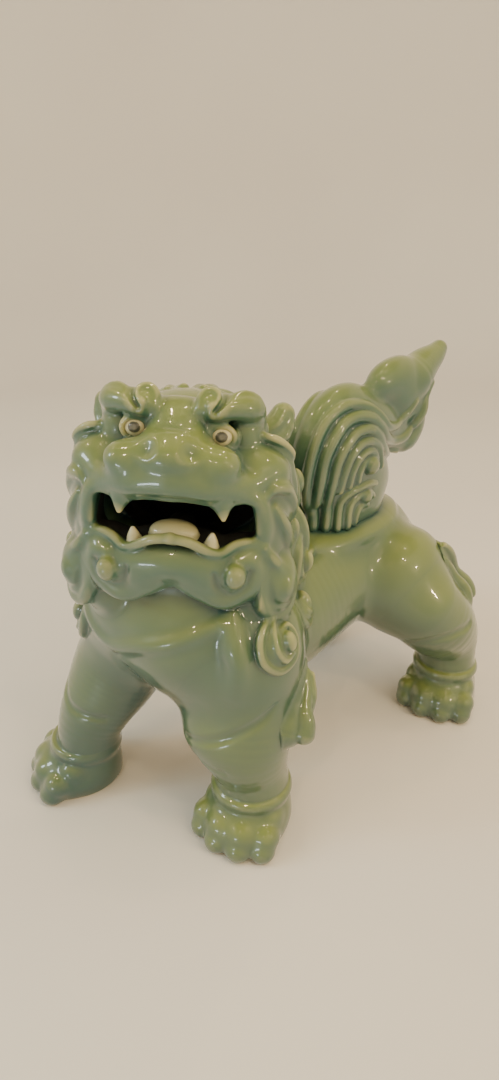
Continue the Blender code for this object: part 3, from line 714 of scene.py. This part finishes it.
# ---- tail, fired apart
rear = Clay((-50, -40, 190), (52, 200, 372))
tail = Piece(rear, "tail")
tail.build([((0, 42, 274), 0, (30, 58, 62)), ((0, 58, 240), 8, (30, 50, 40)),
            ([(0, 30, 222, 29), (0, 62, 222, 29)], 8),
            ([(0, 50, 300, 27), (2, 80, 296, 23), (4, 104, 280, 17), (6, 122, 270, 14), (8, 131, 268, 14),
              (8, 140, 279, 14), (8, 138, 296, 15)], 7),
            ((7, 122, 318), 8, (18, 33, 27), (-12, 0, 0)), ((7, 100, 331), 8, (15, 30, 17), (10, 0, 0)),
            ((6, 116, 294), 8, (13, 20, 22)),
            ([(8, 136, 326, 19), (8, 152, 334, 15), (9, 166, 340, 11), (9, 175, 345, 8)], 6)], frame=BODY)
tail.cut(slab((-60, -60, 150), (60, 220, TAIL_FOOT)), 0)
tail.add(post(STEM, 19.0, STEM_FOOT, 222.0), 0)
OUTER_BANDS = [  # the two ribs that run from the foot over the shoulder and into the plume
    [(8, -14, 214, 5), (9, -14, 240, 5), (10, -13, 265, 5), (12, -10, 288, 5), (13, -2, 307, 5),
     (14, 11, 319, 5), (16, 28, 324, 5), (19, 46, 320, 5), (21, 60, 310, 5), (22, 76, 297, 4.5),
     (20, 96, 292, 4), (18, 112, 298, 4), (18, 122, 310, 3)],
    [(14, -5, 214, 5.4), (16, -5, 240, 5.4), (17, -4, 262, 5.4), (18, -1, 284, 5.4), (19, 8, 300, 5.4),
     (20, 20, 311, 5.4), (22, 34, 314, 5.4), (23, 48, 310, 5.4), (23, 61, 300, 5.4), (21, 78, 286, 5),
     (18, 98, 277, 5), (16, 118, 277, 5), (18, 134, 288, 5), (20, 140, 306, 4), (18, 146, 322, 3)],
]
for side in BOTH:
    for points in OUTER_BANDS:
        tail.strip(mirror(points, side), 1.5, lift=-0.2)
for low, high in (((-60, -60, 150), (60, 220, STEM_FOOT)),  # bands below the stem and round it
                  ((-60, -60, 150), (-19.2, 220, TAIL_FOOT)), ((19.2, -60, 150), (60, 220, TAIL_FOOT)),
                  ((-60, -60, 150), (60, 22.8, TAIL_FOOT)), ((-60, 61.2, 150), (60, 220, TAIL_FOOT))):
    tail.cut(slab(low, high), 0)
tail.lay(0, body="tail")
BANDS = [  # the inner ribs of the scroll, nested round two knobs
    [(19, 4, 214, 4.6), (21, 5, 240, 4.8), (23, 6, 262, 4.8), (24, 10, 281, 4.8), (25, 19, 294, 4.8),
     (26, 31, 302, 4.8), (27, 45, 302, 4.8), (27, 58, 294, 4.8), (25, 70, 281, 4.6), (20, 86, 268, 4.4),
     (15, 104, 260, 4), (12, 124, 258, 3)],
    [(25, 14, 254, 4.2), (26, 16, 268, 4.4), (27, 22, 282, 4.4), (28, 33, 291, 4.4), (29, 45, 292, 4.4),
     (28, 57, 286, 4.4), (27, 65, 275, 4.2), (25, 69, 262, 3.6)],
    [(27, 24, 256, 3.6), (28, 25, 268, 3.8), (29, 31, 278, 3.8), (30, 41, 283, 3.8), (30, 51, 281, 3.8),
     (29, 58, 273, 3.4), (28, 60, 263, 3)],
    [(29, 34, 258, 3.2), (30, 35, 267, 3.4), (30, 41, 274, 3.2), (30, 49, 276, 3)],
    [(24, 15, 214, 4), (24, 15, 230, 4.2), (25, 18, 242, 4.2), (27, 27, 249, 4.2), (28, 38, 251, 4),
     (29, 50, 251, 3.4), (28, 60, 248, 2.4)],
    [(26, 25, 214, 3.6), (26, 25, 228, 3.8), (27, 29, 238, 3.8), (28, 38, 243, 3.6), (29, 49, 243, 3.2),
     (28, 57, 237, 2.4)],
    [(27, 34, 216, 3), (27, 35, 226, 3.2), (28, 41, 232, 3), (28, 49, 231, 2.6)],
]
for side, label in SIDES:
    scroll = Piece(rear, f"tail_scroll_{label}", margin=14.0)
    for points in BANDS:
        path = scroll.snap(mirror(points, side), lift=-0.15, field=rear.field, low=rear.low)
        scroll.add(limb([tuple(p) for p in path], step=WHOLE), 0.8)
    for centre, size in (((30, 49, 269), 8.5), ((29, 46, 240), 7.0)):
        scroll.add(ball((side * centre[0], *centre[1:]), (size * 0.9, size, size)), 0.8)
    scroll.cut(slab((-60, -60, 150), (60, 220, TAIL_FOOT)), 0)
    scroll.lay(1.6, body="tail")


# ---- eyes
EYE = (28.0, -37.0, 39.5)  # centre of the lion's left eye, before it drops
EYE_DROP = 1.2  # how far the left eye sits below that, and the right above
EYE_RADII = (8.0, 7.0, 7.5)
PUPIL_EDGE, PUPIL_SHARP, PUPIL_HEIGHT = 0.46, 26, 0.10
PIT_WIDTH, PIT_DEPTH = 0.1, 0.06  # the prick in the middle of the pupil
for side, label in SIDES:
    mesh = bpy.data.meshes.new(f"lion_eye_{label}")
    bm = bmesh.new()
    bmesh.ops.create_uvsphere(bm, u_segments=40, v_segments=24, radius=1.0)
    pupil = []  # 1 at the pole that looks out, 0 from the equator on
    for vertex in bm.verts:
        spread = math.hypot(vertex.co.x, vertex.co.y)
        pupil.append(1.0 - spread if vertex.co.z > 0 else 0.0)
        if vertex.co.z > 0:
            vertex.co.z += PUPIL_HEIGHT / (1 + math.exp((spread - PUPIL_EDGE) * PUPIL_SHARP))
            vertex.co.z -= PIT_DEPTH * math.exp(-(spread / PIT_WIDTH) ** 2)
    look = Vector((0.10 + side * 0.10, -1.0, 0.24)).to_track_quat("Z", "Y").to_matrix().to_4x4()
    height = EYE[2] - side * EYE_DROP
    seat = HEAD @ Matrix.Translation((side * EYE[0], EYE[1], height)) @ look
    bm.transform(seat @ Matrix.Diagonal((*EYE_RADII, 1)))
    bm.transform(Matrix.Diagonal((0.001, 0.001, 0.001, 1)) @ Matrix.Translation(ORIGIN))
    bm.to_mesh(mesh)
    mesh.attributes.new("pupil", "FLOAT", "POINT").data.foreach_set("value", pupil)
    mesh.shade_smooth()
    bm.free()
    eye = in_scene(mesh.name, mesh)
    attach(eye, "statue")
    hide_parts(f"eye_{label}")
    skins.append((eye, None, "eye_glaze"))
    lid = Piece(statue, f"eye_{label}", name=f"lion_eyelids_{label}")
    rim = [(side * EYE[0] + 8.8 * math.cos(a), EYE[1] - 1.8 + 2.0 * math.cos(a) - 1.3 * math.sin(a),
            height + 7.6 * math.sin(a), 1.9) for a in np.linspace(0, 2 * math.pi, 25)]
    lid.add(limb(rim, HEAD, 2), 1)
    lid.lay(5)


# ---- glaze thickness, and painted shade in hollows and in the mouth, read off the clay
def blurred(solid, radius):
    """A lattice smoothed by two passes of a box filter along each axis."""
    width = max(1, int(round(radius / PITCH)))
    for axis in range(3):
        for _ in range(2):
            pad = [(0, 0)] * 3
            pad[axis] = (width + 1, width)
            total = np.cumsum(np.pad(solid, pad, mode="edge"), axis=axis, dtype=np.float32)
            n = solid.shape[axis]
            take = [slice(None)] * 3
            take[axis] = slice(2 * width + 1, 2 * width + 1 + n)
            upto = total[tuple(take)]
            take[axis] = slice(0, n)
            solid = (upto - total[tuple(take)]) / (2 * width + 1)
    return solid


LIP = [(0, -70), (13, -70), (24, -67), (33, -63), (42, -58), (51, -54), (60, -50)]  # rim: across, front


def painted_mouth_shade(x, y, z, finish):
    """How far inside the mouth points of the head frame are, 0 to 1, as a share of painted shade that blacks
    out the mouth's inside.
    """
    rim = np.interp(np.abs(x), *zip(*LIP))
    start = 17.0 if finish == "cream_glaze" else np.interp(z, (-22, 2), (1.5, 15))
    hollow = (x / 54) ** 2 + (y / 52) ** 2 + ((z + 10) / 40) ** 2 < 1.22
    deep = np.clip((y - rim - start) / 4, 0, 1) * ((np.abs(x) < 56) & (y < -30) | hollow)
    return deep * (np.clip((6 - z) / 4, 0, 1) * np.clip((z + 48) / 4, 0, 1))


whole = statue.field  # the tail is pressed into the statue's lattice
offset = np.round((rear.low - statue.low) / PITCH).astype(int)
place = tuple(slice(a, a + n) for a, n in zip(offset, rear.count))
whole[place] = np.minimum(whole[place], rear.field)
filled = np.clip(0.5 - whole / (2 * PITCH), 0, 1)
fine, broad = blurred(filled, 2.0), blurred(filled, 6.0)
for piece, points, finish in skins:
    if points is None:
        continue
    local = np.c_[points, np.ones(len(points))] @ np.array(HEAD.inverted()).T
    # painted mouth shade, and hollow measures that lay pooled glaze and painted shade
    layers = {"painted_mouth_shade": painted_mouth_shade(*local.T[:3], finish),
              "fine": 2 * (0.5 - sample(fine, statue.low, points)),
              "broad": 2 * (0.5 - sample(broad, statue.low, points))}
    for layer, values in layers.items():
        data = piece.data.attributes.new(layer, "FLOAT", "POINT")
        data.data.foreach_set("value", values.astype(np.float32))


# ---- materials
class Graph:
    """Short hands for building a material's nodes."""

    def __init__(self, name):
        self.material = bpy.data.materials.new(name)
        self.material.use_nodes = True
        self.tree = self.material.node_tree
        self.shader = self.tree.nodes["Principled BSDF"]
        self.place = self.node("ShaderNodeTexCoord").outputs["Object"]

    def node(self, kind, **settings):
        """A new node; a setting is the value of a socket where there is one of its name."""
        made = self.tree.nodes.new(kind)
        for key, value in settings.items():
            if key in made.inputs:
                self.put(made.inputs[key], value)
            else:
                setattr(made, key, value)
        return made

    def put(self, socket, value):
        """A number, a colour or another node's output into a socket."""
        if isinstance(value, (int, float)):
            socket.default_value = value
        elif isinstance(value, tuple):
            socket.default_value = (*value, 1)
        else:
            self.tree.links.new(value, socket)

    def shade(self, colour, others):
        """The shader's colour, and its other sockets by name."""
        for name, value in {"Base Color": colour, **others}.items():
            self.put(self.shader.inputs[name], value)

    def ramp(self, source, stops):
        """A colour ramp of (place, colour) stops."""
        made = self.node("ShaderNodeValToRGB", Fac=source)
        elements = made.color_ramp.elements
        while len(elements) < len(stops):
            elements.new(0.5)
        for element, (where, colour) in zip(elements, stops):
            element.position = where
            element.color = (*colour, 1)
        return made.outputs["Color"]

    def spread(self, source, low, high):
        """A value brought from low..high to 0..1, and kept there."""
        limits = {"From Min": low, "From Max": high}
        return self.node("ShaderNodeMapRange", clamp=True, Value=source, **limits).outputs["Result"]

    def math(self, operation, a, b):
        """A sum or the like of two numbers or sockets."""
        made = self.node("ShaderNodeMath", operation=operation)
        self.put(made.inputs[0], a)
        self.put(made.inputs[1], b)
        return made.outputs[0]

    def times(self, a, b):
        return self.math("MULTIPLY", a, b)

    def vary(self, value, source, amount):
        """A value with a noise about 0.5 added to it, scaled to amount."""
        return self.math("ADD", value, self.times(self.math("SUBTRACT", source, 0.5), amount))

    def mix(self, fac, a, b):
        """Colours a and b mixed; a share or a socket for fac, tuples or sockets for a and b."""
        made = self.node("ShaderNodeMix", data_type="RGBA")
        for socket, value in ((0, fac), (6, a), (7, b)):
            self.put(made.inputs[socket], value)
        return made.outputs[2]

    def texture(self, kind, **settings):
        """A texture node in the object's own space, in metres."""
        return self.node(kind, Vector=self.place, **settings)

    def noise(self, scale, detail=3.0):
        return self.texture("ShaderNodeTexNoise", Scale=scale, Detail=detail).outputs["Fac"]

    def split(self, vector):
        return self.node("ShaderNodeSeparateXYZ", Vector=vector).outputs

    def attribute(self, name):
        return self.node("ShaderNodeAttribute", attribute_name=name).outputs["Fac"]


def celadon(name, mid, pale, pool_and_shade, warm):
    """Celadon glaze: pale where it thins over edges, pooled glaze with painted shade in hollows, a painted
    warm top light where it faces up, and painted shade low on the legs and in the mouth.
    """
    g = Graph(name)
    fine, broad = g.attribute("fine"), g.attribute("broad")
    drift, cloud = g.noise(9.0, 2.0), g.noise(38.0)
    up = g.split(g.node("ShaderNodeNewGeometry").outputs["Normal"])["Z"]
    # painted light: faces that turn up get the warm colour as a painted warm top light, and the rest keep
    # mid
    painted_top_light = g.spread(g.vary(up, drift, 0.8), -0.2, 0.95)
    colour = g.mix(painted_top_light, mid, warm)
    low = g.spread(g.split(g.place)["Z"], 0.24, 0.09)  # painted shade low on the legs: from, to, m
    # painted shade: the lower legs are darkened toward the pool colour, less where they face up
    painted_leg_shade = g.times(low, g.math("SUBTRACT", 1.0, painted_top_light))
    colour = g.mix(g.times(painted_leg_shade, 0.85), colour, tuple(0.85 * c for c in pool_and_shade))
    # pooled glaze deeper in broad hollows, with painted shade laid there too
    colour = g.mix(g.spread(g.vary(broad, cloud, 0.12), 0.06, -0.42), colour, pool_and_shade)
    # pooled glaze and painted shade: the tightest creases go darker still than the pool colour
    crease_pool_and_shade = g.times(g.spread(fine, -0.10, -0.42), 0.75)
    colour = g.mix(crease_pool_and_shade, colour, tuple(0.72 * c for c in pool_and_shade))
    colour = g.mix(g.spread(g.vary(fine, cloud, 0.10), 0.15, 0.50), colour, pale)
    tint = g.spread(g.noise(5.0, 1.0), 0.35, 0.65)
    colour = g.mix(0.22, colour, g.mix(tint, tuple(0.8 * c for c in pool_and_shade), warm))

    specks = g.texture("ShaderNodeTexVoronoi", Scale=62.0, Randomness=1.0)  # iron specks
    chosen = g.node("ShaderNodeSeparateColor", Color=specks.outputs["Color"])
    rare = g.times(g.math("LESS_THAN", specks.outputs["Distance"], 0.035),
                  g.math("GREATER_THAN", chosen.outputs[0], 0.86))
    colour = g.mix(g.times(rare, 0.8), colour, (0.03, 0.03, 0.02))

    wander = g.texture("ShaderNodeTexNoise", Scale=30.0, Detail=2.0)  # crackle, in places
    small = g.node("ShaderNodeVectorMath", operation="SCALE", Scale=0.012)
    bend = g.node("ShaderNodeVectorMath", operation="ADD")
    cracks = g.node("ShaderNodeTexVoronoi", feature="DISTANCE_TO_EDGE", Scale=26.0, Randomness=1.0)
    g.put(small.inputs[0], wander.outputs["Color"])
    g.put(bend.inputs[0], g.place)
    g.put(bend.inputs[1], small.outputs[0])
    g.put(cracks.inputs["Vector"], bend.outputs[0])
    line = g.spread(cracks.outputs["Distance"], 0.012, 0.0)
    where = g.spread(g.noise(7.0, 1.0), 0.52, 0.68)
    colour = g.mix(g.times(g.times(line, where), 0.16), colour, (0.10, 0.12, 0.07))

    # painted shade: the inside of the mouth is painted nearly black, with less coat and more roughness
    mouth_shade_share = g.attribute("painted_mouth_shade")
    colour = g.mix(mouth_shade_share, colour, (0.004, 0.004, 0.003))
    waves = g.math("ADD", g.noise(60.0, 2.0), g.times(g.noise(320.0, 1.0), 0.08))
    ripple = g.node("ShaderNodeBump", Strength=0.10, Distance=0.002, Height=waves).outputs[0]
    g.shade(colour, {"Roughness": g.math("ADD", g.times(mouth_shade_share, 0.6), 0.32), "Coat Roughness": 0.035,
                     "Coat Weight": g.math("SUBTRACT", 1.0, mouth_shade_share), "Coat IOR": 1.5,
                     "Normal": ripple, "Coat Normal": ripple})
    return g.material


def eye_glaze():
    """Cream slip with a grey pupil and a darker ring under the glaze."""
    g = Graph("eye_glaze")
    rim = g.vary(g.attribute("pupil"), g.noise(900.0), 0.10)
    colour = g.ramp(rim, [(0.0, (0.34, 0.36, 0.20)), (0.28, (0.62, 0.56, 0.33)),
                          (0.46, (0.62, 0.56, 0.33)), (0.51, (0.10, 0.10, 0.07)),
                          (0.62, (0.055, 0.055, 0.045)), (0.86, (0.13, 0.13, 0.10))])
    g.shade(colour, {"Roughness": 0.3, "Coat Weight": 1.0, "Coat Roughness": 0.03})
    return g.material


# the warm colour is a painted top light on faces turned up; the pool colour serves pooled glaze and painted
# shade alike
GLAZES = {
    "celadon_glaze": celadon("celadon_glaze", mid=(0.038, 0.112, 0.084), pale=(0.54, 0.50, 0.23),
                             pool_and_shade=(0.010, 0.062, 0.064), warm=(0.185, 0.225, 0.058)),
    "cream_glaze": celadon("cream_glaze", mid=(0.50, 0.47, 0.27), pale=(0.66, 0.60, 0.36),
                           pool_and_shade=(0.26, 0.27, 0.16), warm=(0.56, 0.52, 0.28)),
    "eye_glaze": eye_glaze(),
}
for piece, _, finish in skins:
    piece.data.materials.append(GLAZES[finish])


# ---- floor, light and camera
def softbox(name, place, target, size, power, colour, glossy):
    """A rectangular light that looks at a target, mirrored by the glaze only if glossy."""
    light = bpy.data.lights.new(name, "AREA")
    light.shape = "RECTANGLE"
    light.size, light.size_y = size
    light.energy = power
    light.color = colour
    holder = in_scene(name, light)
    holder.location = place
    holder.visible_glossy = glossy
    holder.rotation_euler = (Vector(target) - Vector(place)).to_track_quat("-Z", "Y").to_euler()


def backdrop():
    """A pale round floor whose rim sweeps up into a wall on every side."""
    flat, bend, height, turns = 1.3, 0.5, 2.6, 72
    profile = [(0.4, 0.0), (flat, 0.0)]
    for a in np.linspace(0.1, math.pi / 2, 14):
        profile.append((flat + bend * math.sin(a), bend - bend * math.cos(a)))
    profile.append((flat + bend, height))
    mesh = bpy.data.meshes.new("floor")
    bm = bmesh.new()
    angles = np.linspace(0, 2 * math.pi, turns, False)
    rings = [[bm.verts.new((r * math.cos(a), r * math.sin(a), z)) for a in angles] for r, z in profile]
    bm.faces.new(rings[0])
    for low, high in zip(rings, rings[1:]):
        for i in range(turns):
            bm.faces.new((low[i - 1], low[i], high[i], high[i - 1]))
    bmesh.ops.recalc_face_normals(bm, faces=bm.faces)
    bm.to_mesh(mesh)
    bm.free()
    mesh.shade_smooth()
    floor = in_scene("floor", mesh)
    g = Graph("floor")
    colour = g.mix(g.spread(g.noise(1.6, 2.0), 0.3, 0.7), (0.70, 0.645, 0.57), (0.74, 0.685, 0.61))
    g.shade(colour, {"Roughness": 0.6})
    mesh.materials.append(g.material)


LIGHTS = [  # name, place, target, size, power, colour, glossy; metres and watts
    ("ceiling", (0.4, 0.4, 2.3), (0, 0, 0.2), (2.2, 2.2), 35, (1.0, 0.90, 0.70), False),
    ("front_cool", (-0.85, -1.25, 1.2), (0, -0.1, 0.2), (0.9, 1.0), 10, (0.52, 0.84, 1.0), False),
    ("side_warm", (1.5, 0.2, 1.1), (0, 0, 0.2), (0.9, 0.9), 9.5, (1.0, 0.86, 0.58), False),
    ("panes", (-0.9, -1.3, 1.0), (0, -0.1, 0.2), (0.22, 0.34), 4.0, (0.80, 0.93, 1.0), True),
    ("window", (0.18, -1.05, 0.12), (0, -0.12, 0.25), (0.20, 0.09), 0.9, (0.8, 0.93, 1.0), True),
]
LAMPS = [(0.0, 0.1, 1.6), (-0.25, -0.3, 1.55), (-0.3, 0.65, 1.5), (0.45, -0.85, 1.3), (1.05, -0.1, 1.3),
         (1.1, 0.3, 0.55), (-0.35, -1.15, 1.2), (-0.85, -0.45, 1.4), (0.85, -0.2, 1.35), (0.5, 0.3, 1.6)]
LAMP_SIZE, LAMP_POWER, LAMP_COLOUR = (0.045, 0.045), 1.5, (1.0, 0.74, 0.42)
CAMERA = (0.350, -0.420, 0.500)  # metres from the design's ground point
CAMERA_DOWN, CAMERA_TURN = 28.7, 45.0  # degrees below level, and from straight ahead

backdrop()
for light in LIGHTS:
    softbox(*light)
for i, place in enumerate(LAMPS):  # small warm bulbs that leave points of light on the glaze
    softbox(f"lamp_{i}", place, (0, 0, 0.25), LAMP_SIZE, LAMP_POWER, LAMP_COLOUR, True)

world = bpy.data.worlds.new("studio")
world.use_nodes = True
sky = world.node_tree.nodes["Background"].inputs
sky["Color"].default_value = (0.62, 0.60, 0.56, 1)
sky["Strength"].default_value = 0.22
bpy.context.scene.world = world

camera_data = bpy.data.cameras.new("camera")
camera_data.lens = 23
camera_data.sensor_width = 36
camera_data.clip_start = 0.01
camera = in_scene("camera", camera_data)
camera.location = Vector(CAMERA) + Vector(ORIGIN) * 0.001
camera.rotation_euler = (math.radians(90 - CAMERA_DOWN), 0, math.radians(CAMERA_TURN))
bpy.context.scene.camera = camera
